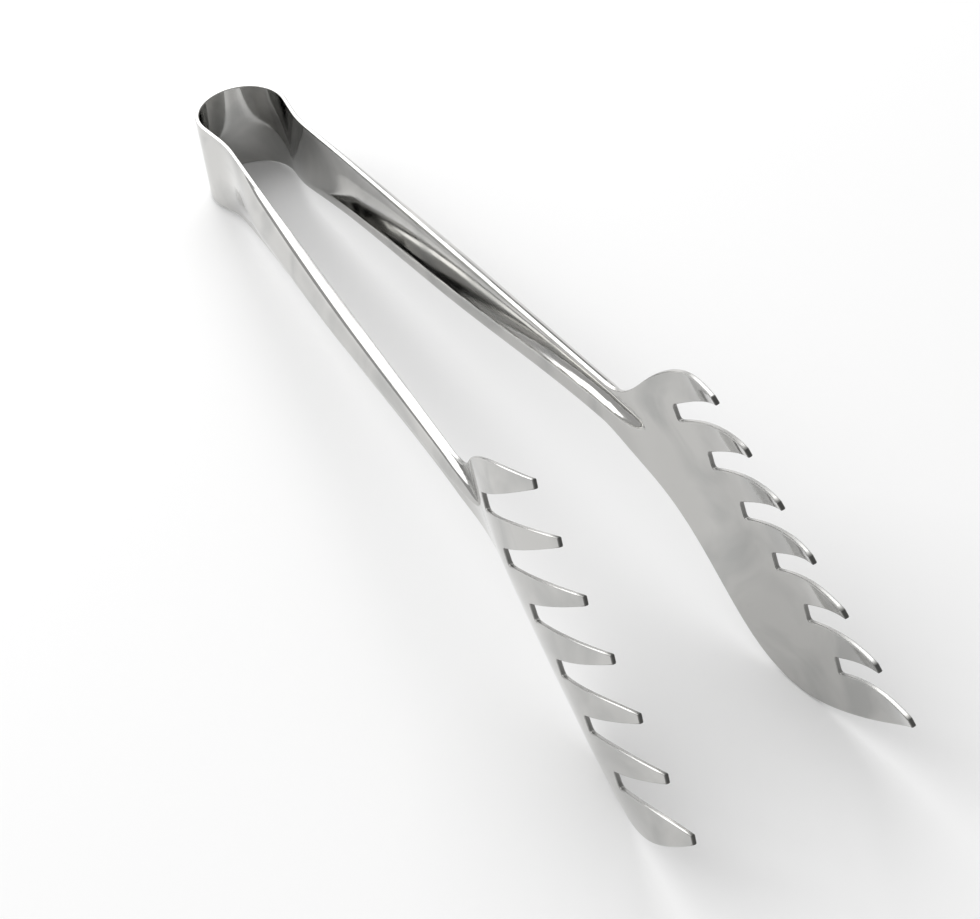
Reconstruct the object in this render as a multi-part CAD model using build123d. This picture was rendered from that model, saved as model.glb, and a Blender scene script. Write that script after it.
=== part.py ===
from build123d import *
from math import atan2, cos, degrees, radians, sin, tan
import os

# Spring tongs for pasta, pressed from one strip of polished steel sheet.
# A bow at the back springs two channelled arms apart, and each arm ends in a cupped comb of raked teeth.
# +Z is up, +Y points to the bow, and X = 0 is the mirror plane between the two arms.

# Sheet
sheet_thickness = 1.0

# Angles of a half and a quarter turn
half_turn_angle = 180.0
quarter_turn_angle = 90.0

# Bow, seen from above: the path of the sheet's middle from the back of the bow to where an arm starts
back_radius = 10.6
back_angle = 35.0
side_radius = 10.5
side_angle = 63.0
neck_length = 6.2
waist_radius = 36.0
spread_angle = 3.8

# Bow, seen from the side: the lower edge climbs at the shoulders to the narrower arms
bow_height = 21.7
shoulder_start = 10.0

# Arm: heights of the strip along it, measured from the back of the bow
arm_height = 18.9
middle_reach = 85.0
middle_height = 14.7
head_reach = 145.0
head_height = 11.0

# Channel pressed outwards along the arm
rim_flange = 0.7
first_reach = 46.0
first_height = 16.6
first_flange = 1.0
middle_flange = 1.5
head_flange = 2.6
bow_channel_depth = 0.4
first_channel_depth = 2.4
middle_channel_depth = 3.1
head_channel_depth = 2.3
channel_runout = 11.0

# Comb: its row of teeth runs down and forwards from the first notch
drop_angle = 32.0
first_notch_ahead = 20.3
first_notch_rise = 6.5
tooth_pitch = 11.25
tooth_count = 7
first_tooth_height = 20.9
last_tooth_height = 16.1
first_tooth_lean = 6.9
last_tooth_lean = 5.9
tip_width = 1.3
notch_width = 2.9
notch_step = 1.9
notch_radius = 0.8
back_bulge = 0.6
last_back_bulge = 1.0

# Comb blade, in the comb's own directions: along the row and across it
valley_along = -9.5
valley_across = -11.9
first_back_along = -7.2
first_back_across = -1.8
first_brow_along = -1.6
first_brow_across = 12.4
spine_start_along = 8.4
spine_start_across = -18.2
spine_middle_along = 33.4
spine_middle_across = -17.9
elbow_along = 57.2
elbow_across = -14.9
nose_along = 69.8
nose_across = 0.3

# Cup pressed into the comb blade: it fades in from the end of the arm
cup_radius = 47.0
cup_rise = 2.9
cup_centre_across = 1.6
cup_half_height = 36.0
cup_fade_length = 30.0
cup_flat_sag = 0.05
cup_end_margin = 6.0

# Length by which a cutting solid runs past what it cuts
overrun = 30.0


def bow_path():
    """Middle line of the sheet round the left half of the bow, from its back to the arm."""
    back = JernArc((0, 0), (-1, 0), back_radius, back_angle)
    side = JernArc(back @ 1, back % 1, side_radius, side_angle)
    neck = Line(side @ 1, side @ 1 + (side % 1) * neck_length)
    waist_angle = back_angle + side_angle + spread_angle - quarter_turn_angle
    waist = JernArc(neck @ 1, neck % 1, waist_radius, -waist_angle)
    return Wire([back.edge(), side.edge(), neck.edge(), waist.edge()])


def blade_location(path):
    """Where a flat arm lies: X along the arm, Y up, Z outwards, with X = 0 level with the bow's back."""
    start = path @ 1
    along = Vector(-sin(radians(spread_angle)), -cos(radians(spread_angle)), 0)
    outwards = Vector(-cos(radians(spread_angle)), sin(radians(spread_angle)), 0)
    origin = start - along * (start.Y / along.Y)
    return Plane(origin=origin, x_dir=along, z_dir=outwards).location


def make_bow(path):
    """The open loop: a wall along the path, cut to its side outline with the two shoulders."""
    half = sheet_thickness / 2
    inner = path.offset_2d(half, side=Side.LEFT, closed=False)
    outer = path.offset_2d(half, side=Side.RIGHT, closed=False)
    ends = [Line(inner @ 0, outer @ 1).edge(), Line(inner @ 1, outer @ 0).edge()]
    wall = extrude(make_face(outer.edges() + inner.edges() + ends), bow_height, dir=(0, 0, -1))
    end = (path @ 1).Y
    arm_slope = (end + first_reach, arm_height - first_height)
    rear = Line((overrun, overrun), (overrun, -bow_height))
    sole = Line(rear @ 1, (-shoulder_start, -bow_height))
    shoulder = Spline(
        sole @ 1, (end, -arm_height), tangents=[(-1, 0), (-arm_slope[0], arm_slope[1])]
    )
    front = Polyline(shoulder @ 1, (end - overrun, -arm_height), (end - overrun, overrun), rear @ 0)
    side_outline = make_face([rear.edge(), sole.edge(), shoulder.edge(), *front.edges()])
    mask = extrude(Plane.YZ * side_outline, bow_height, both=True)
    left = wall & mask
    return left + left.mirror(Plane.YZ)


def channel_section(reach, height, flange, depth):
    """Cross-section of the arm: a half-elliptic channel between the rim's flange and the lower one."""
    half = sheet_thickness / 2
    chord = height - rim_flange - flange
    centre = -rim_flange - chord / 2
    rim = Line((0, -half), (0, half))
    outer_rim = Line((0, half), (centre + chord / 2, half))
    outer = EllipticalCenterArc((centre, half), chord / 2, depth, arc_size=half_turn_angle)
    outer_flange = Line((centre - chord / 2, half), (-height, half))
    foot = Line((-height, half), (-height, -half))
    inner_chord = chord - 2 * sheet_thickness
    inner_flange = Line((-height, -half), (centre - inner_chord / 2, -half))
    inner = EllipticalCenterArc((centre, -half), inner_chord / 2, depth, arc_size=half_turn_angle)
    inner_rim = Line((centre + inner_chord / 2, -half), (0, -half))
    pieces = (rim, outer_rim, outer, outer_flange, foot, inner_flange, inner, inner_rim)
    return Plane.YZ.offset(reach) * make_face([piece.edge() for piece in pieces])


def make_arm(arm_start):
    """The channelled arm in its flat frame, from the bow to the comb."""
    stations = [
        (arm_start, arm_height, first_flange, bow_channel_depth),
        (first_reach, first_height, first_flange, first_channel_depth),
        (middle_reach, middle_height, middle_flange, middle_channel_depth),
        (head_reach, head_height, head_flange, head_channel_depth),
    ]
    return loft([channel_section(*station) for station in stations])


comb_along = Vector(cos(radians(drop_angle)), -sin(radians(drop_angle)), 0)
comb_plane = Plane(
    origin=(head_reach + first_notch_ahead, first_notch_rise, 0), x_dir=comb_along, z_dir=(0, 0, 1)
)


def comb_point(along, across):
    """A point of the flat blade given along and across the comb's row of notches."""
    return comb_plane.from_local_coords(Vector(along, across, 0))


def tooth(number):
    """Tip of one tooth, and the notch floor between it and the next: both as points of the flat blade."""
    share = number / (tooth_count - 1)
    height = first_tooth_height + (last_tooth_height - first_tooth_height) * share
    lean = first_tooth_lean + (last_tooth_lean - first_tooth_lean) * share
    root = number * tooth_pitch
    tip_front = comb_point(root + lean, height)
    notch_back = comb_point(root, 0)
    notch_front = comb_point(root + notch_width, -notch_step)
    front_edge = tip_front - notch_back
    tip_back = tip_front + Vector(-front_edge.Y, front_edge.X, 0).normalized() * tip_width
    return tip_back, tip_front, notch_back, notch_front


def bulged(start, end, bulge):
    """The convex back of a tooth: an arc that stands out from its chord by the bulge."""
    chord = end - start
    side = Vector(-chord.Y, chord.X, 0).normalized()
    return ThreePointArc(start, start + chord / 2 + side * bulge, end)


def comb_outline():
    """Flat outline of the comb head: teeth along the top, the spine below, and the arm's end behind."""
    rim = Vector(head_reach, 0, 0)
    foot = Vector(head_reach, -head_height, 0)
    tips = [tooth(number) for number in range(tooth_count)]
    valley = comb_point(valley_along, valley_across)
    first_back = comb_point(first_back_along, first_back_across)
    first_brow = comb_point(first_brow_along, first_brow_across)
    first_tip = tips[0][0]
    slopes = [(1, 0, 0), first_tip - first_brow]
    edges = [
        Line(foot, rim),
        Spline(rim, valley, first_back, first_brow, first_tip, tangents=slopes),
    ]
    notch_floors = []
    for number in range(tooth_count - 1):
        tip_back, tip_front, notch_back, notch_front = tips[number]
        next_tip = tips[number + 1][0]
        edges.append(Line(tip_back, tip_front))
        edges.append(Line(tip_front, notch_back))
        edges.append(Line(notch_back, notch_front))
        is_last = number == tooth_count - 2
        edges.append(bulged(notch_front, next_tip, last_back_bulge if is_last else back_bulge))
        notch_floors += [notch_back, notch_front]
    last_back, last_front = tips[-1][0], tips[-1][1]
    edges.append(Line(last_back, last_front))
    edges.append(
        Spline(
            last_front,
            comb_point(nose_along, nose_across),
            comb_point(elbow_along, elbow_across),
            comb_point(spine_middle_along, spine_middle_across),
            comb_point(spine_start_along, spine_start_across),
            foot,
        )
    )
    outline = make_face([edge.edge() for edge in edges])
    corners = [
        corner
        for corner in outline.vertices()
        if min((Vector(corner) - floor).length for floor in notch_floors) < notch_radius / 2
    ]
    return fillet(corners, notch_radius)


def cup_section(reach, rise, sag):
    """Cross-section of the cupped sheet, square to the arm, with the crown of its arc on the cup's axis."""
    half = sheet_thickness / 2
    axis = comb_point(0, cup_centre_across)
    crown = axis.Y - (reach - axis.X) * tan(radians(drop_angle))
    low, high = crown - cup_half_height, crown + cup_half_height
    outer = ThreePointArc((low, rise - sag + half), (crown, rise + half), (high, rise - sag + half))
    inner = ThreePointArc((low, rise - sag - half), (crown, rise - half), (high, rise - sag - half))
    sides = [Line(outer @ 0, inner @ 0), Line(outer @ 1, inner @ 1)]
    section = make_face([piece.edge() for piece in (outer, inner, *sides)])
    return Plane.YZ.offset(reach) * section


def make_cup():
    """The sheet of the comb before its outline is cut: flat at the arm and cupped at the teeth."""
    full_sag = (cup_half_height * cos(radians(drop_angle))) ** 2 / (2 * cup_radius)
    full_reach = head_reach + cup_fade_length
    end_reach = tooth(tooth_count - 1)[1].X + cup_end_margin
    stations = [
        (head_reach, 0, cup_flat_sag),
        ((head_reach + full_reach) / 2, cup_rise / 2, full_sag / 2),
        (full_reach, cup_rise, full_sag),
        ((full_reach + end_reach) / 2, cup_rise, full_sag),
        (end_reach, cup_rise, full_sag),
    ]
    return loft([cup_section(*station) for station in stations])


def runout(run, half_width, depth, level):
    """Half-ellipsoid end of the channel where it fades into the comb blade."""
    centre = -rim_flange - (head_height - rim_flange - head_flange) / 2
    return Pos(head_reach, centre, level) * scale(Sphere(1), by=(run, half_width, depth))


def make_comb():
    """The comb head in the arm's flat frame: cupped sheet, outline, and the channel's run-out."""
    half = sheet_thickness / 2
    half_chord = (head_height - rim_flange - head_flange) / 2
    blade = make_cup() & extrude(comb_outline(), overrun, both=True)
    ahead = Pos(head_reach + overrun / 2, 0, overrun / 2) * Box(overrun, 2 * overrun, overrun)
    outer = runout(channel_runout, half_chord, head_channel_depth, half) & ahead
    inner = runout(channel_runout - sheet_thickness, half_chord - sheet_thickness, head_channel_depth, -half)
    return blade + outer - inner


path = bow_path()
blade = blade_location(path)
arm_start = -(path @ 1).Y / cos(radians(spread_angle))
left_pieces = {"arm": blade * make_arm(arm_start), "comb_head": blade * make_comb()}
pieces = {"spring_bow": make_bow(path)}
for name, piece in left_pieces.items():
    pieces["left_" + name] = piece
    pieces["right_" + name] = piece.mirror(Plane.YZ)

# At rest the tongs stand on the back of the bow and on the elbows of the two combs
elbow = comb_point(elbow_along, elbow_across)
elbow_back = elbow.X * cos(radians(spread_angle))
rest_tilt = degrees(atan2(-elbow.Y - bow_height, elbow_back))
lean = Rot(-rest_tilt, 0, 0)
leaning = {name: lean * piece for name, piece in pieces.items()}
extent = Compound(list(leaning.values())).bounding_box()
stand = Pos(-extent.center().X, -extent.center().Y, -extent.min.Z)

os.makedirs("parts", exist_ok=True)
for name, piece in leaning.items():
    placed = stand * piece
    print(name, len(placed.solids()), round(placed.volume, 2))
    export_step(placed, f"parts/{name}.step")
print("size", extent.size)
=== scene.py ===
import math
import bpy
import numpy as np
from mathutils import Matrix, Vector
from mathutils.geometry import delaunay_2d_cdt


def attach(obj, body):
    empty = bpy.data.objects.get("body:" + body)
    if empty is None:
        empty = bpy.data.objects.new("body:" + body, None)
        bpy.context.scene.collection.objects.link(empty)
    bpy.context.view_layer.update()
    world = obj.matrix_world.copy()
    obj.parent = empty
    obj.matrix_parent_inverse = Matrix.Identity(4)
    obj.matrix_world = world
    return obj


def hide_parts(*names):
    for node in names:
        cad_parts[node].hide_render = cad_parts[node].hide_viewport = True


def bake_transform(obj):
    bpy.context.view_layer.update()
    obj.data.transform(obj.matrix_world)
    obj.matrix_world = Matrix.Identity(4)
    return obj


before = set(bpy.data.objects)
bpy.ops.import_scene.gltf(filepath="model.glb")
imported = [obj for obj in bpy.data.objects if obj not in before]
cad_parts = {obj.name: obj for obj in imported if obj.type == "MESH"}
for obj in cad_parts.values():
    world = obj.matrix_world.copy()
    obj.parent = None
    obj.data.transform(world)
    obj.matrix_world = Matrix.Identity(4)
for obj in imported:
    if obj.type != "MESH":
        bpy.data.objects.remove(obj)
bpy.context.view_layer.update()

# Sizes are in millimetres and angles in degrees. A point of the sheet is given by its reach along the strip
# from the back of the bow and by its level: zero at the upper rim, negative below it.
metre = 0.001

sheet = {
    "thickness": 1.0,
    "edgeRadius": 0.3,          # rounding of the polished sheet edges
    "edgeSteps": 5,
    "faceRows": 64,
    "rowCrowding": 0.7,         # 0 spreads the rows evenly, 1 packs them at the flanges
    "slopeStep": 0.01,          # over which the slopes of the pressed form are taken
}

stand = {
    "tilt": 4.105,              # lean of the tongs from the bow's sole to the combs' elbows
    "ahead": 117.897,           # where the back of the bow stands
    "up": 21.680,
}


def inDegrees(angle):
    # An angle written in degrees, as radians
    return np.radians(angle)


def smoothStep(share):
    # Three times the square less twice the cube: flat at both ends
    share = np.clip(share, 0, 1)
    return share * share * (3 - 2 * share)


def smoothCurve(at, knots, values):
    # Cubic between neighbouring knots, with each knot's slope taken from the straight runs beside it
    knots, values = np.array(knots, float), np.array(values, float)
    run = np.diff(values) / np.diff(knots)
    product = run[1:] * run[:-1]
    total = run[1:] + run[:-1]
    inner = np.where(product > 0, 2 * product / np.where(total == 0, 1, total), 0)
    slope = np.concatenate([run[:1], inner, run[-1:]])
    at = np.clip(at, knots[0], knots[-1])
    k = np.clip(np.searchsorted(knots, at) - 1, 0, len(knots) - 2)
    width = knots[k + 1] - knots[k]
    q = (at - knots[k]) / width
    return (values[k] * (1 + 2 * q) * (1 - q) ** 2 + values[k + 1] * q * q * (3 - 2 * q)
            + slope[k] * width * q * (1 - q) ** 2 - slope[k + 1] * width * q * q * (1 - q))


# The path of the sheet seen from above

bow = {
    "backRadius": 10.6,
    "backAngle": 35.0,
    "sideRadius": 10.5,
    "sideAngle": 63.0,
    "neckLength": 6.2,
    "waistRadius": 36.0,
    "spreadAngle": 3.8,
    "easing": 3.0,              # length over which one bend runs into the next
    "pathStep": 0.02,
    "stationGap": 0.3,
    "flexLength": 25.0,         # run ahead of the back; it is turned to the stand, but nothing uses it
}


def bowPath():
    # The heading turns evenly along each bend; a running mean eases one bend into the next,
    # and the steps along the heading add up to the path
    step = bow["pathStep"]
    lengths = np.array([bow["backRadius"] * inDegrees(bow["backAngle"]),
                        bow["sideRadius"] * inDegrees(bow["sideAngle"]), bow["neckLength"], 0])
    waist = bow["backAngle"] + bow["sideAngle"] + bow["spreadAngle"] - 90
    lengths[3] = bow["waistRadius"] * inDegrees(waist)
    turned = np.cumsum([0, bow["backAngle"], bow["sideAngle"], 0, -waist])
    ends = np.concatenate([[0], np.cumsum(lengths)])
    along = np.arange(0, ends[-1] + step, step)
    reach = np.arange(-2 * bow["easing"], ends[-1] + 2 * bow["easing"], step)
    heading = np.sign(reach) * np.interp(np.abs(reach), ends, turned)
    window = np.ones(int(bow["easing"] / step) | 1)
    eased = np.convolve(heading, window / len(window), "same")
    plain = walk(np.interp(along, ends, turned), step)
    soft = walk(np.interp(along, reach, eased), step)
    soft += (plain[-1] - soft[-1]) * (along / along[-1])[:, None]
    return along, soft, np.interp(along, reach, eased)


def walk(heading, step):
    # A heading of zero points to -X; it turns towards -Y
    angle = inDegrees(heading)
    moves = np.stack([-np.cos(angle), -np.sin(angle)], 1) * step
    middles = (moves[1:] + moves[:-1]) / 2
    return np.concatenate([np.zeros((1, 2)), np.cumsum(middles, 0)])


pathLength, pathPoints, pathHeading = bowPath()
spread = inDegrees(bow["spreadAngle"])
armStart = -pathPoints[-1, 1] / math.cos(spread)
backReach = armStart - pathLength[-1]
armAlong = np.array([-math.sin(spread), -math.cos(spread)])
print("bow path", round(float(pathLength[-1]), 2), "mm to the arm at reach", round(float(armStart), 2))


def pathFrame(reach):
    # Point, direction and outward side of the sheet's middle line: the bow's path, then a straight arm
    length = reach - backReach
    heading = inDegrees(np.interp(length, pathLength, pathHeading))
    ahead = np.maximum(reach - armStart, 0)[..., None] * armAlong
    point = np.stack([np.interp(length, pathLength, pathPoints[:, 0]),
                      np.interp(length, pathLength, pathPoints[:, 1])], -1) + ahead
    along = np.stack([-np.cos(heading), -np.sin(heading), 0 * heading], -1)
    outwards = np.stack([-np.sin(heading), np.cos(heading), 0 * heading], -1)
    return np.concatenate([point, 0 * heading[..., None]], -1), along, outwards


# The form pressed into the sheet

# The strip's height, its lower flange and the depth of its channel, by reach
arm = {
    "reach": (-12.0, 10.0, 25.3, 46.0, 85.0, 145.0, 175.0),
    "height": (21.7, 21.7, 18.9, 16.6, 14.7, 10.4, 10.4),
    "flange": (1.6, 1.6, 1.9, 2.3, 2.8, 3.9, 4.4),
    "depth": (0.0, 0.0, 0.6, 2.6, 3.2, 2.1, 2.0),
    "footFullness": (0.6, 0.6, 0.6, 0.65, 0.9, 0.95, 0.95),     # of the wall that runs down to the flange
    "rimFlange": 0.4,
    "crownShare": 0.5,          # how far down its height the channel is deepest
    "footPower": 1.35,
    "fold": 0.05,               # softness of the fold between the channel and a flange
    "endFold": 0.3,             # added to it at the channel's rounded end
    "headReach": 145.0,
    "runOut": 13.0,
    "leastEnd": 0.02,           # share of its section that the channel keeps where it has run out
    "farAway": 4.0,             # distances from the crown beyond this count as this
    "stationGap": 0.8,
}


def stripHeight(reach):
    # Smooth curve through the heights of the strip
    return smoothCurve(reach, arm["reach"], arm["height"])


def channelHeight(reach, level):
    # Above its crown the channel is a quarter of an ellipse: the root of one less the squared distance from the
    # crown. Below, one less the distance to the foot power is raised to the foot fullness. Past the end of the arm
    # both shrink with the root of one less the squared distance ahead, which gives the channel a rounded end.
    flange = smoothCurve(reach, arm["reach"], arm["flange"])
    down = -(level + arm["rimFlange"]) / (stripHeight(reach) - arm["rimFlange"] - flange)
    crown = arm["crownShare"]
    above = down < crown
    away = np.where(above, (crown - down) / crown, (down - crown) / (1 - crown))
    ahead = np.clip((reach - arm["headReach"]) / arm["runOut"], 0, 1)
    end = np.sqrt(1 - ahead ** 2)
    away = np.minimum(away / np.maximum(end, arm["leastEnd"]), arm["farAway"])
    fold = arm["fold"] + arm["endFold"] * ahead ** 2
    room = folded(1 - away ** np.where(above, 2, arm["footPower"]), fold) / folded(1, fold)
    fullness = smoothCurve(reach, arm["reach"], arm["footFullness"])
    return smoothCurve(reach, arm["reach"], arm["depth"]) * end * room ** np.where(above, 0.5, fullness)


def folded(room, fold):
    # The room itself where it is above zero and nothing below, with a soft fold between
    return (room + np.sqrt(room ** 2 + fold ** 2)) / 2


comb = {
    "dropAngle": 32.0,
    "firstNotch": (165.3, 6.5),
    "pitch": 11.25,
    "teeth": 7,
    "toothHeight": (20.9, 16.1),
    "toothLean": (8.0, 7.0),
    "tipWidth": 1.8,
    "tipRadius": 0.35,
    "notchFront": (2.9, -1.9),
    "notchRadius": 0.8,
    "backBulge": (0.6, 0.6, 0.6, 0.6, 0.6, 1.0),
    "root": ((-9.5, -11.9), (-7.2, -1.8), (-1.6, 12.4)),
    "spine": ((69.8, 0.3), (57.2, -14.86), (33.4, -17.85), (8.4, -18.2)),
    "cupRadius": 47.0,
    "cupReach": (150.0, 180.0, 200.0, 215.0, 232.0),
    "cupRise": (3.1, 3.2, 3.0, 2.3, 2.0),
    "cupCentre": 1.6,
    "cupFade": 30.0,
    "pointGap": 0.9,
    "finePointGap": 0.22,       # where the channel runs out
    "fineReach": 158.0,
    "floorPaintedDarkAndRoughShare": 0.65,          # share of the painted dark reflection and of the added roughness at the notch floors, where the tips have 1
    "points": {"firstBack": 90, "toothBack": 26, "toothFront": 20, "tip": 4, "floor": 7, "spine": 190},
}

combTurn = np.array([[math.cos(inDegrees(comb["dropAngle"])), -math.sin(inDegrees(comb["dropAngle"]))],
                     [math.sin(inDegrees(comb["dropAngle"])), math.cos(inDegrees(comb["dropAngle"]))]])


def combPoint(points):
    # From along and across the row of notches to reach and level
    return np.array(comb["firstNotch"]) + np.asarray(points, float) @ combTurn


def cupHeight(reach, level):
    # A parabola across the cup's axis that fades in from the end of the arm
    axis = combPoint((0, comb["cupCentre"]))
    slope = math.tan(inDegrees(comb["dropAngle"]))
    crown = axis[1] - (reach - axis[0]) * slope
    sag = (math.cos(inDegrees(comb["dropAngle"])) * (level - crown)) ** 2 / (2 * comb["cupRadius"])
    rise = smoothCurve(reach, comb["cupReach"], comb["cupRise"])
    return smoothStep((reach - arm["headReach"]) / comb["cupFade"]) * (rise - sag)


def pressedHeight(reach, level):
    # The channel plus the cup
    return channelHeight(reach, level) + cupHeight(reach, level)


def sheetSurface(reach, level, offset, edge, edgeShare):
    # Middle surface plus the offset along its normal. The normal leans by the slopes of the pressed form, and on
    # the rounded edges it turns towards the edge's own outward direction by the edge share.
    small = sheet["slopeStep"]
    height = pressedHeight(reach, level)
    slopeAlong = (pressedHeight(reach + small, level) - pressedHeight(reach - small, level)) / (2 * small)
    slopeUp = (pressedHeight(reach, level + small) - pressedHeight(reach, level - small)) / (2 * small)
    point, along, outwards = pathFrame(reach)
    up = np.array([0, 0, 1.0])
    normal = unit(outwards - slopeAlong[..., None] * along - slopeUp[..., None] * up)
    side = unit(edge[..., :1] * (along + slopeAlong[..., None] * outwards)
                + edge[..., 1:] * (up + slopeUp[..., None] * outwards))
    place = point + level[..., None] * up + height[..., None] * outwards + offset[..., None] * normal
    face = np.sqrt(1 - edgeShare ** 2) * np.sign(offset)
    return place, unit(face[..., None] * normal + edgeShare[..., None] * side)


def unit(vectors):
    # Each vector divided by its own length
    return vectors / np.linalg.norm(vectors, axis=-1, keepdims=True)


def standUp(points, turnOnly=False):
    # From the frame of the arms to where the tongs stand: a lean about X, then a shift
    c, s = math.cos(inDegrees(stand["tilt"])), math.sin(inDegrees(stand["tilt"]))
    turned = points @ np.array([[1, 0, 0], [0, c, -s], [0, s, c]])
    return turned if turnOnly else (turned + np.array([0, stand["ahead"], stand["up"]])) * metre


def edgeProfile():
    # Round the sheet's edge from one face to the other: how far it lies back from the outline,
    # its offset from the middle of the sheet, and its edge share
    turn = np.linspace(0, math.pi / 2, sheet["edgeSteps"])
    radius, half = sheet["edgeRadius"], sheet["thickness"] / 2
    back = radius * (1 - np.sin(turn))
    out = half - radius * (1 - np.cos(turn))
    return (np.concatenate([back, back[::-1]]), np.concatenate([out, -out[::-1]]),
            np.concatenate([np.sin(turn), np.sin(turn)[::-1]]))


def buildPiece(name, body, nodes, points, normals, flatPoints, edgeShare, punched, faces, capFaces, mirrored):
    # Right-hand pieces are the same arrays with X negated and each face's corners reversed. Every corner gets the
    # computed normal of its point, and the corners of the flat ends get the normal of their own face.
    flip = np.array([-1, 1, 1]) if mirrored else np.array([1, 1, 1])
    if mirrored:
        faces = [polygons[:, ::-1] for polygons in faces]
        capFaces = [polygons[:, ::-1] for polygons in capFaces]
    vertices = standUp(points * flip)
    directions = standUp(normals * flip, True)
    allFaces = faces + capFaces
    corners = np.concatenate([polygons.ravel() for polygons in allFaces])
    sizes = np.concatenate([np.full(len(polygons), polygons.shape[1]) for polygons in allFaces])
    mesh = bpy.data.meshes.new(name)
    mesh.vertices.add(len(vertices))
    mesh.vertices.foreach_set("co", vertices.ravel())
    mesh.loops.add(len(corners))
    mesh.loops.foreach_set("vertex_index", corners)
    mesh.polygons.add(len(sizes))
    mesh.polygons.foreach_set("loop_start", np.concatenate([[0], np.cumsum(sizes)[:-1]]))
    mesh.update(calc_edges=True)
    layer = mesh.uv_layers.new(name="alongSheet")
    layer.data.foreach_set("uv", (flatPoints[corners] * metre).ravel())
    # The second attribute is the mask of painted dark reflection and added roughness at the blunt tips and notch
    # floors
    for attribute, values in (("cutEdge", edgeShare), ("punched", punched)):
        mesh.attributes.new(attribute, "FLOAT", "POINT").data.foreach_set("value", values.astype(np.float32))
    cornerNormals = directions[corners]
    capCorners = sum(polygons.size for polygons in capFaces)
    if capCorners:
        capNormals = capDirection(vertices, capFaces)
        cornerNormals[-capCorners:] = capNormals
    mesh.normals_split_custom_set(cornerNormals)
    piece = bpy.data.objects.new(name, mesh)
    bpy.context.scene.collection.objects.link(piece)
    piece.data.materials.append(polishedSteel)
    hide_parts(*nodes)
    if isinstance(body, str):
        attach(piece, body)
    else:
        standUp(np.array([0, 0, 0]))
        standUp(np.array([0, -bow["flexLength"], 0]))
        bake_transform(piece)
    print(name, len(mesh.vertices), "points", len(mesh.polygons), "faces")
    return piece


def capDirection(vertices, capFaces):
    # Flat ends: each face's own normal at all its corners
    parts = []
    for polygons in capFaces:
        a, b, c = vertices[polygons[:, 0]], vertices[polygons[:, 1]], vertices[polygons[:, 2]]
        own = np.cross(b - a, c - a)
        size = np.linalg.norm(own, axis=1, keepdims=True)
        own = np.where(size > 0, own / np.where(size > 0, size, 1), [0, 1, 0])
        parts.append(np.repeat(own, polygons.shape[1], axis=0))
    return np.concatenate(parts)


def faceShares():
    # Places across a face of the strip: even places less a share of their sine, which crowds them at both flanges
    q = np.linspace(0, 1, sheet["faceRows"])
    return q - sheet["rowCrowding"] * np.sin(2 * math.pi * q) / (2 * math.pi)


def stripPiece(name, body, nodes, reaches, mirrored):
    # The section runs once round the sheet: down the outer face, round the foot, up the inner face, round the rim
    back, out, share = edgeProfile()
    across = faceShares()[1:-1]
    reach = reaches[:, None]
    height = stripHeight(reach)
    radius = sheet["edgeRadius"]
    faceLevels = -radius - across * (height - 2 * radius)
    zeros, ones = np.zeros_like(faceLevels), np.ones_like(height)
    levels = np.concatenate([faceLevels, -height + back, faceLevels[:, ::-1], -back[::-1] * ones], 1)
    half = sheet["thickness"] / 2
    offsets = np.concatenate([zeros + half, out * ones, zeros - half, out[::-1] * ones], 1)
    shares = np.concatenate([zeros, share * ones, zeros, share[::-1] * ones], 1)
    downs = np.concatenate([zeros - 1, -ones * np.ones_like(back), zeros + 1, ones * np.ones_like(back)], 1)
    edge = np.stack([np.zeros_like(downs), downs], -1)
    reachGrid = np.broadcast_to(reach, levels.shape)
    points, normals = sheetSurface(reachGrid, levels, offsets, edge, shares)
    rows, columns = levels.shape
    index = np.arange(rows * columns).reshape(rows, columns)
    loop = np.concatenate([index, index[:, :1]], 1)
    sides = np.stack([loop[:-1, :-1], loop[:-1, 1:], loop[1:, 1:], loop[1:, :-1]], -1).reshape(-1, 4)
    caps = [capQuads(index[0], len(across), len(back), True), capQuads(index[-1], len(across), len(back), False)]
    flat = np.stack([reachGrid, levels], -1).reshape(-1, 2)
    return buildPiece(name, body, nodes, points.reshape(-1, 3), normals.reshape(-1, 3), flat,
                      shares.ravel(), np.zeros(shares.size), [sides], caps, mirrored)


def capQuads(ring, acrossCount, edgeCount, first):
    # The outer and the inner half of the section ring have the same levels, so quads join them pair by pair
    half = edgeCount // 2
    outer = np.concatenate([ring[-half:], ring[:acrossCount], ring[acrossCount:acrossCount + half]])
    inner = np.concatenate([ring[-edgeCount:-half][::-1],
                            ring[acrossCount + edgeCount:2 * acrossCount + edgeCount][::-1],
                            ring[acrossCount + half:acrossCount + edgeCount][::-1]])
    quads = np.stack([outer[:-1], inner[:-1], inner[1:], outer[1:]], -1)
    return quads if first else quads[:, ::-1]


# The comb's outline, in reach and level

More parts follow.
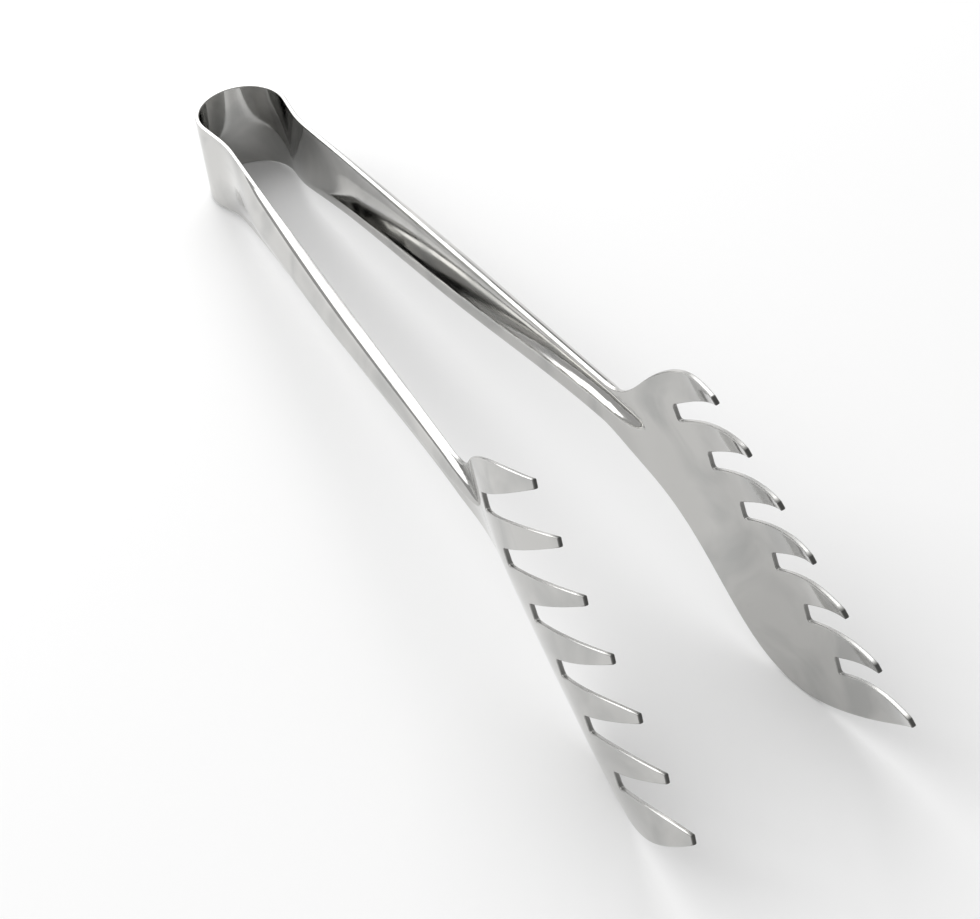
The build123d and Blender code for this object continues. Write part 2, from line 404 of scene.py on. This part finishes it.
def splineThrough(points, count, startSlope=None, endSlope=None):
    # Cubic spline with knots at the chord lengths: the bends at the points solve one linear system,
    # with no bend at a free end and the given slope at a held one
    points = np.array(points, float)
    chord = np.linalg.norm(np.diff(points, axis=0), axis=1)
    knots = np.concatenate([[0], np.cumsum(chord)])
    n = len(points)
    system, right = np.zeros((n, n)), np.zeros((n, 2))
    inner = np.arange(1, n - 1)
    system[inner, inner - 1] = chord[:-1]
    system[inner, inner] = 2 * (chord[:-1] + chord[1:])
    system[inner, inner + 1] = chord[1:]
    run = np.diff(points, axis=0) / chord[:, None]
    right[1:-1] = 6 * np.diff(run, axis=0)
    system[0, 0] = system[-1, -1] = 1
    if startSlope is not None:
        system[0, :2] = 2 * chord[0], chord[0]
        right[0] = 6 * (run[0] - unit(np.array(startSlope, float)))
    if endSlope is not None:
        system[-1, -2:] = chord[-1], 2 * chord[-1]
        right[-1] = 6 * (unit(np.array(endSlope, float)) - run[-1])
    bend = np.linalg.solve(system, right)
    at = np.linspace(0, knots[-1], count)
    k = np.clip(np.searchsorted(knots, at) - 1, 0, n - 2)
    a, b, width = (knots[k + 1] - at)[:, None], (at - knots[k])[:, None], chord[k][:, None]
    return ((bend[k] * a ** 3 + bend[k + 1] * b ** 3) / (6 * width)
            + (points[k] / width - bend[k] * width / 6) * a
            + (points[k + 1] / width - bend[k + 1] * width / 6) * b)


def roundedCorner(corner, before, after, radius, count):
    # A short curve that leaves the corner's two sides where a circle of the radius would touch them
    towardsBefore, towardsAfter = unit(before - corner), unit(after - corner)
    cosine = np.sum(towardsBefore * towardsAfter, -1)
    touch = radius / np.tan(np.arccos(cosine) / 2)
    q = np.linspace(0, 1, count)[:, None]
    curve = ((1 - q) ** 2 * towardsBefore[..., None, :] + q ** 2 * towardsAfter[..., None, :])
    return corner[..., None, :] + touch[..., None, None] * curve


def combOutline():
    # From the arm's rim over the first tooth's back and along all teeth, then by the nose and the spine to the foot.
    # With it comes a mask of the blunt tips and the notch floors, which get a painted dark reflection and added
    # roughness.
    counts = comb["points"]
    share = np.linspace(0, 1, comb["teeth"])
    number = np.arange(comb["teeth"])
    height = comb["toothHeight"][0] + (comb["toothHeight"][1] - comb["toothHeight"][0]) * share
    lean = comb["toothLean"][0] + (comb["toothLean"][1] - comb["toothLean"][0]) * share
    root = number * comb["pitch"]
    tipFront = combPoint(np.stack([root + lean, height], 1))
    notchBack = combPoint(np.stack([root, 0 * root], 1))
    notchFront = combPoint(np.stack([root + comb["notchFront"][0], 0 * root + comb["notchFront"][1]], 1))
    front = unit(tipFront - notchBack)
    tipBack = tipFront + np.stack([-front[:, 1], front[:, 0]], 1) * comb["tipWidth"]
    rim, foot = np.array([arm["headReach"], 0.0]), np.array([arm["headReach"], -stripHeight(arm["headReach"])])
    rootPoints = combPoint(comb["root"])
    firstBack = splineThrough([rim, *rootPoints, tipBack[0]], counts["firstBack"], (1, 0),
                              tipBack[0] - rootPoints[-1])
    q = np.linspace(0, 1, counts["toothBack"])[1:-1, None]
    start, end = notchFront[:-1], tipBack[1:]
    chord = end - start
    side = np.stack([-chord[:, 1], chord[:, 0]], 1)
    side = unit(side) * np.array(comb["backBulge"])[:, None]
    backs = start[:, None] + chord[:, None] * q + side[:, None] * 4 * q * (1 - q)
    backCorner = roundedCorner(tipBack[1:], backs[:, -1], tipFront[1:], comb["tipRadius"], counts["tip"])
    frontCorner = roundedCorner(tipFront, tipBack, notchBack, comb["tipRadius"], counts["tip"])
    floorBack = roundedCorner(notchBack[:-1], tipFront[:-1], notchFront[:-1], comb["notchRadius"],
                              counts["floor"])
    floorFront = roundedCorner(notchFront[:-1], notchBack[:-1], backs[:, 2], comb["notchRadius"],
                               counts["floor"])
    q = np.linspace(0, 1, counts["toothFront"])[1:-1, None]
    fronts = frontCorner[:-1, -1:] + (floorBack[:, :1] - frontCorner[:-1, -1:]) * q
    runs = [frontCorner[:-1], fronts, floorBack, floorFront, backs[:, 2:-1], backCorner]
    teeth = np.concatenate(runs, 1)
    firstCorner = roundedCorner(tipBack[0], firstBack[-2], tipFront[0], comb["tipRadius"], counts["tip"])
    spine = splineThrough([tipFront[-1], *combPoint(comb["spine"]), foot], counts["spine"])
    floor = comb["floorPaintedDarkAndRoughShare"]
    marks = zip(runs, (1, 0, floor, floor, 0, 1))
    tooth = np.concatenate([np.full(run.shape[1], mark) for run, mark in marks])
    # Painted dark reflection and added roughness: full at the tips, a share at the notch floors
    punched = np.concatenate([np.zeros(len(firstBack) - 1), np.ones(len(firstCorner)),
                              np.tile(tooth, comb["teeth"] - 1), np.ones(len(frontCorner[-1])),
                              np.zeros(len(spine) - 2)])
    outline = np.concatenate([firstBack[:-1], firstCorner, teeth.reshape(-1, 2), frontCorner[-1], spine[2:]])
    return outline, punched


def combPiece(name, body, nodes, mirrored):
    # Both faces are the same triangles between the outline and a field of points,
    # and the rounded edge is the edge profile carried round the outline
    outline, outlineCutEndsAndPaintedDark = combOutline()
    tangent = unit(np.gradient(outline, axis=0))
    edge = np.stack([-tangent[:, 1], tangent[:, 0]], 1)
    edge[0], edge[-1] = (0, 1), (0, -1)
    back, out, share = edgeProfile()
    inset = outline - edge * sheet["edgeRadius"]
    seamShare = faceShares()[1:-1, None]
    seam = inset[-1] + (inset[0] - inset[-1]) * seamShare
    border = np.concatenate([inset, seam])
    fields = [pointField(border, arm["headReach"], comb["fineReach"], comb["finePointGap"]),
              pointField(border, comb["fineReach"], outline[:, 0].max(), comb["pointGap"])]
    flat = np.concatenate([border, *fields])
    result = delaunay_2d_cdt([Vector(p) for p in flat], [], [list(range(len(border)))[::-1]], 1, 1e-6)
    triangles = np.array([list(t) for t in result[2]])
    flat = np.array([tuple(p) for p in result[0]])
    area = np.cross(flat[triangles[:, 1]] - flat[triangles[:, 0]], flat[triangles[:, 2]] - flat[triangles[:, 0]])
    triangles[area < 0] = triangles[area < 0][:, ::-1]
    half = sheet["thickness"] / 2
    count, ringCount = len(flat), len(outline)
    still = np.zeros((count, 2)) + [0, 1]
    outer, outerNormals = sheetSurface(flat[:, 0], flat[:, 1], np.full(count, half), still, np.zeros(count))
    inner, innerNormals = sheetSurface(flat[:, 0], flat[:, 1], np.full(count, -half), still, np.zeros(count))
    ring = outline[:, None] - edge[:, None] * back[1:-1, None]
    ringEdge = np.broadcast_to(edge[:, None], ring.shape)
    offsets = np.broadcast_to(out[1:-1], ring.shape[:2])
    shares = np.broadcast_to(share[1:-1], ring.shape[:2])
    rims, rimNormals = sheetSurface(ring[..., 0], ring[..., 1], offsets, ringEdge, shares)
    steps = ring.shape[1]
    grid = 2 * count + np.arange(ringCount * steps).reshape(ringCount, steps)
    turn = np.arange(ringCount)
    band = np.concatenate([turn[:, None], grid, count + turn[:, None]], 1)
    bandFaces = np.stack([band[:-1, :-1], band[1:, :-1], band[1:, 1:], band[:-1, 1:]], -1).reshape(-1, 4)
    seamIndex = np.concatenate([[ringCount - 1], np.arange(ringCount, ringCount + len(seam)), [0]])
    halfSteps = steps // 2
    outerSeam = np.concatenate([band[-1, 1:halfSteps + 1][::-1], seamIndex, band[0, 1:halfSteps + 1]])
    innerSeam = np.concatenate([band[-1, halfSteps + 1:-1], count + seamIndex, band[0, halfSteps + 1:-1][::-1]])
    caps = np.stack([outerSeam[1:], innerSeam[1:], innerSeam[:-1], outerSeam[:-1]], -1)
    points = np.concatenate([outer, inner, rims.reshape(-1, 3)])
    normals = np.concatenate([outerNormals, innerNormals, rimNormals.reshape(-1, 3)])
    flatPoints = np.concatenate([flat, flat, ring.reshape(-1, 2)])
    allShares = np.concatenate([np.zeros(2 * count), shares.ravel()])
    # The outline's mask of painted dark reflection, carried over the rounded edge
    punched = np.concatenate([np.zeros(2 * count), np.repeat(outlineCutEndsAndPaintedDark, steps) * shares.ravel()])
    return buildPiece(name, body, nodes, points, normals, flatPoints, allShares, punched,
                      [triangles, count + triangles[:, ::-1], bandFaces], [caps], mirrored)


def pointField(border, start, end, gap):
    # Staggered rows of points between two reaches, inside the border and clear of it
    low, high = border[:, 1].min(), border[:, 1].max()
    field = np.stack(np.meshgrid(np.arange(start + gap / 2, end, gap), np.arange(low, high, gap)), -1)
    field[1::2, :, 0] += gap / 4
    field = field.reshape(-1, 2)
    away = np.min(np.linalg.norm(field[:, None] - border[None], axis=2), axis=1)
    return field[(away > 0.5 * gap) & insideOutline(field, border)]


def insideOutline(points, border):
    # A point is inside where a ray to +X crosses the border an odd number of times
    a, b = border, np.roll(border, -1, axis=0)
    x, y = points[:, :1], points[:, 1:]
    spans = (a[:, 1] > y) != (b[:, 1] > y)
    rise = np.where(b[:, 1] == a[:, 1], 1, b[:, 1] - a[:, 1])
    crossing = a[:, 0] + (y - a[:, 1]) * (b[:, 0] - a[:, 0]) / rise
    return np.sum(spans & (x < crossing), axis=1) % 2 == 1


# Shading

class Signal:
    # A shader socket that adds a Math node for each operator
    def __init__(self, shading, socket):
        self.shading = shading
        self.socket = socket

    def combine(self, operation, first, second):
        return self.shading.add("ShaderNodeMath", {"operation": operation}, {0: first, 1: second})

    def __add__(self, other):
        return self.combine("ADD", self, other)

    def __radd__(self, other):
        return self.combine("ADD", other, self)

    def __mul__(self, other):
        return self.combine("MULTIPLY", self, other)

    def __rmul__(self, other):
        return self.combine("MULTIPLY", other, self)


class Shading:
    # One material's nodes: each call adds a node with its settings and the values or links of its sockets
    def __init__(self, tree):
        self.tree = tree
        tree.nodes.clear()

    def add(self, kind, settings=None, inputs=None, output=0):
        node = self.tree.nodes.new(kind)
        for name, value in (settings or {}).items():
            if name == "stops":
                while len(node.color_ramp.elements) < len(value):
                    node.color_ramp.elements.new(1)
                for element, (position, level) in zip(node.color_ramp.elements, value):
                    element.position = position
                    element.color = (level, level, level, 1)
            else:
                setattr(node, name, value)
        for name, value in (inputs or {}).items():
            if isinstance(value, Signal):
                self.tree.links.new(value.socket, node.inputs[name])
            else:
                node.inputs[name].default_value = value
        return Signal(self, node.outputs[output]) if node.outputs else None

    def mixColours(self, share, first, second):
        # The first colour where the share is 0, the second where it is 1; 6, 7 and 2 are the colour sockets
        return self.add("ShaderNodeMix", {"data_type": "RGBA"}, {0: share, 6: first, 7: second}, 2)


steel = {
    "colour": (0.56, 0.555, 0.54),
    # painted reflection: darker cloudy patches that stand in for reflections of the dim room
    "paintedReflectionColour": (0.46, 0.46, 0.45),
    # painted dark reflection of the dark surroundings at the blunt tips and the notch floors
    "paintedDarkReflectionColour": (0.12, 0.12, 0.115),
    "roughness": 0.05,
    "hazeRoughness": 0.06,      # added where the polish is clouded
    "lineRoughness": 0.03,      # added along the drawing lines
    "edgeRoughness": 0.15,      # added on the cut edges
    "punchedRoughness": 0.3,    # added at the blunt tips and the notch floors
    "lineScale": (40, 2600, 1),  # few lines along the strip, many across it
    "lineDepth": 0.00001,
    "lineStrength": 0.35,
    "hazeAndReflectionScale": 55.0,
    "hazeAndReflectionSoftness": 0.5,
    "hazeAndReflectionSwirl": 0.8,
    "hazeAndReflectionRange": (0.44, 0.62),
    "noiseDetail": 3.0,
}


def makeSteel():
    # The roughness is the polish's own plus a share each of the haze clouds, the drawing lines, the cut edges and
    # the blunt tips and notch floors. Painted reflection darkens the colour in cloudy patches and at the tips and
    # notch floors, and the lines are also a faint relief.
    material = bpy.data.materials.new("polishedSteel")
    material.use_nodes = True
    shading = Shading(material.node_tree)
    uv = shading.add("ShaderNodeUVMap", {"uv_map": "alongSheet"})
    place = shading.add("ShaderNodeTexCoord", output="Object")
    stretched = shading.add("ShaderNodeMapping", inputs={"Vector": uv, "Scale": steel["lineScale"]})
    lines = shading.add("ShaderNodeTexNoise", inputs={
        "Vector": stretched, "Scale": 1.0, "Detail": steel["noiseDetail"]})
    # noise for the polish's haze, which also places the painted reflection patches
    hazeAndReflectionNoise = shading.add("ShaderNodeTexNoise", inputs={
        "Vector": place, "Scale": steel["hazeAndReflectionScale"], "Detail": steel["noiseDetail"],
        "Roughness": steel["hazeAndReflectionSoftness"], "Distortion": steel["hazeAndReflectionSwirl"]})
    hazeAndPaintedReflection = shading.add("ShaderNodeValToRGB", {"stops": tuple(zip(steel["hazeAndReflectionRange"], (0, 1)))}, {"Fac": hazeAndReflectionNoise})
    edge = shading.add("ShaderNodeAttribute", {"attribute_name": "cutEdge"}, output="Fac")
    # mask of the painted dark reflection at the blunt tips and the notch floors
    punched = shading.add("ShaderNodeAttribute", {"attribute_name": "punched"}, output="Fac")
    # painted reflection: darker cloudy patches over the steel colour
    colour = shading.mixColours(hazeAndPaintedReflection, (*steel["colour"], 1), (*steel["paintedReflectionColour"], 1))
    # painted dark reflection at the blunt tips and the notch floors
    colour = shading.mixColours(punched, colour, (*steel["paintedDarkReflectionColour"], 1))
    roughness = (steel["roughness"] + hazeAndPaintedReflection * steel["hazeRoughness"] + lines * steel["lineRoughness"]
                 + edge * steel["edgeRoughness"] + punched * steel["punchedRoughness"])
    bump = shading.add("ShaderNodeBump", inputs={
        "Height": lines, "Distance": steel["lineDepth"], "Strength": steel["lineStrength"]})
    surface = shading.add("ShaderNodeBsdfPrincipled", inputs={
        "Base Color": colour, "Metallic": 1.0, "Roughness": roughness, "Normal": bump})
    shading.add("ShaderNodeOutputMaterial", inputs={"Surface": surface})
    return material


polishedSteel = makeSteel()
print("steel made")

# Pieces

bowReaches = np.linspace(backReach, armStart, int((armStart - backReach) / bow["stationGap"]) + 1)
armReaches = np.linspace(armStart, arm["headReach"], int((arm["headReach"] - armStart) / arm["stationGap"]) + 1)
for sideName, mirrored in (("left", False), ("right", True)):
    jaw = sideName + "_jaw"
    stripPiece(sideName + "BowHalf", ("bow", jaw), ["spring_bow"], bowReaches, mirrored)
    stripPiece(sideName + "Arm", jaw, [sideName + "_arm"], armReaches, mirrored)
    combPiece(sideName + "CombHead", jaw, [sideName + "_comb_head"], mirrored)

# Floor, light and camera

studio = {
    "floorSize": 6.0,
    "floorColour": (0.93, 0.93, 0.93, 1),
    "floorRoughness": 0.8,
    "floorShine": 0.2,
    "worldStrength": 0.5,
    "topLight": {"place": (-0.2, 1.1, 1.0), "width": 2.6, "depth": 1.6, "power": 31.0},
}


def makeFloor():
    # One square at height zero, half its size to each side
    half = studio["floorSize"] / 2
    mesh = bpy.data.meshes.new("floor")
    mesh.from_pydata([(-half, -half, 0), (half, -half, 0), (half, half, 0), (-half, half, 0)], [], [(0, 1, 2, 3)])
    floor = bpy.data.objects.new("floor", mesh)
    bpy.context.scene.collection.objects.link(floor)
    material = bpy.data.materials.new("paleFloor")
    material.use_nodes = True
    shading = Shading(material.node_tree)
    surface = shading.add("ShaderNodeBsdfPrincipled", inputs={
        "Base Color": studio["floorColour"], "Roughness": studio["floorRoughness"],
        "Specular IOR Level": studio["floorShine"]})
    shading.add("ShaderNodeOutputMaterial", inputs={"Surface": surface})
    mesh.materials.append(material)


def makeLight():
    # An even white sky and one wide lamp above and behind, turned towards the middle of the floor
    world = bpy.data.worlds.new("studio")
    bpy.context.scene.world = world
    world.use_nodes = True
    shading = Shading(world.node_tree)
    sky = shading.add("ShaderNodeBackground", inputs={"Color": (1, 1, 1, 1), "Strength": studio["worldStrength"]})
    shading.add("ShaderNodeOutputWorld", inputs={"Surface": sky})
    top = studio["topLight"]
    lamp = bpy.data.lights.new("topLight", "AREA")
    lamp.shape = "RECTANGLE"
    lamp.size, lamp.size_y = top["width"], top["depth"]
    lamp.energy = top["power"]
    holder = bpy.data.objects.new("topLight", lamp)
    bpy.context.scene.collection.objects.link(holder)
    holder.location = top["place"]
    holder.rotation_euler = Vector(top["place"]).to_track_quat("Z", "Y").to_euler()


view = {
    "azimuth": 25.0045,         # of the camera as seen from the tongs, from -Y towards -X
    "elevation": 42.1465,
    "roll": -7.0823,
    "place": (-143.503, -432.051, 280.289),
    "focalPixels": 2187.01,
    "imageWidth": 980,
    "sensorWidth": 36.0,
}


def makeCamera():
    # The view runs along the azimuth and the elevation, its two cross axes are turned by the roll, and the lens is
    # the focal length in pixels over the image width, times the sensor width
    azimuth, elevation, roll = (inDegrees(view[key]) for key in ("azimuth", "elevation", "roll"))
    backwards = np.array([-math.sin(azimuth) * math.cos(elevation), -math.cos(azimuth) * math.cos(elevation),
                          math.sin(elevation)])
    right = unit(np.cross(-backwards, (0, 0, 1)))
    down = np.cross(-backwards, right)
    c, s = math.cos(roll), math.sin(roll)
    axes = np.stack([c * right - s * down, -(s * right + c * down), backwards])
    turned = standUp(axes, True)
    placed = standUp(np.array(view["place"]))
    data = bpy.data.cameras.new("camera")
    data.sensor_width = view["sensorWidth"]
    data.lens = view["focalPixels"] / view["imageWidth"] * view["sensorWidth"]
    camera = bpy.data.objects.new("camera", data)
    bpy.context.scene.collection.objects.link(camera)
    matrix = np.eye(4)
    matrix[:3, :3] = turned.T
    matrix[:3, 3] = placed
    camera.matrix_world = Matrix(matrix)
    bpy.context.scene.camera = camera


makeFloor()
makeLight()
makeCamera()
bpy.context.scene.view_settings.view_transform = "Standard"
print("studio made")
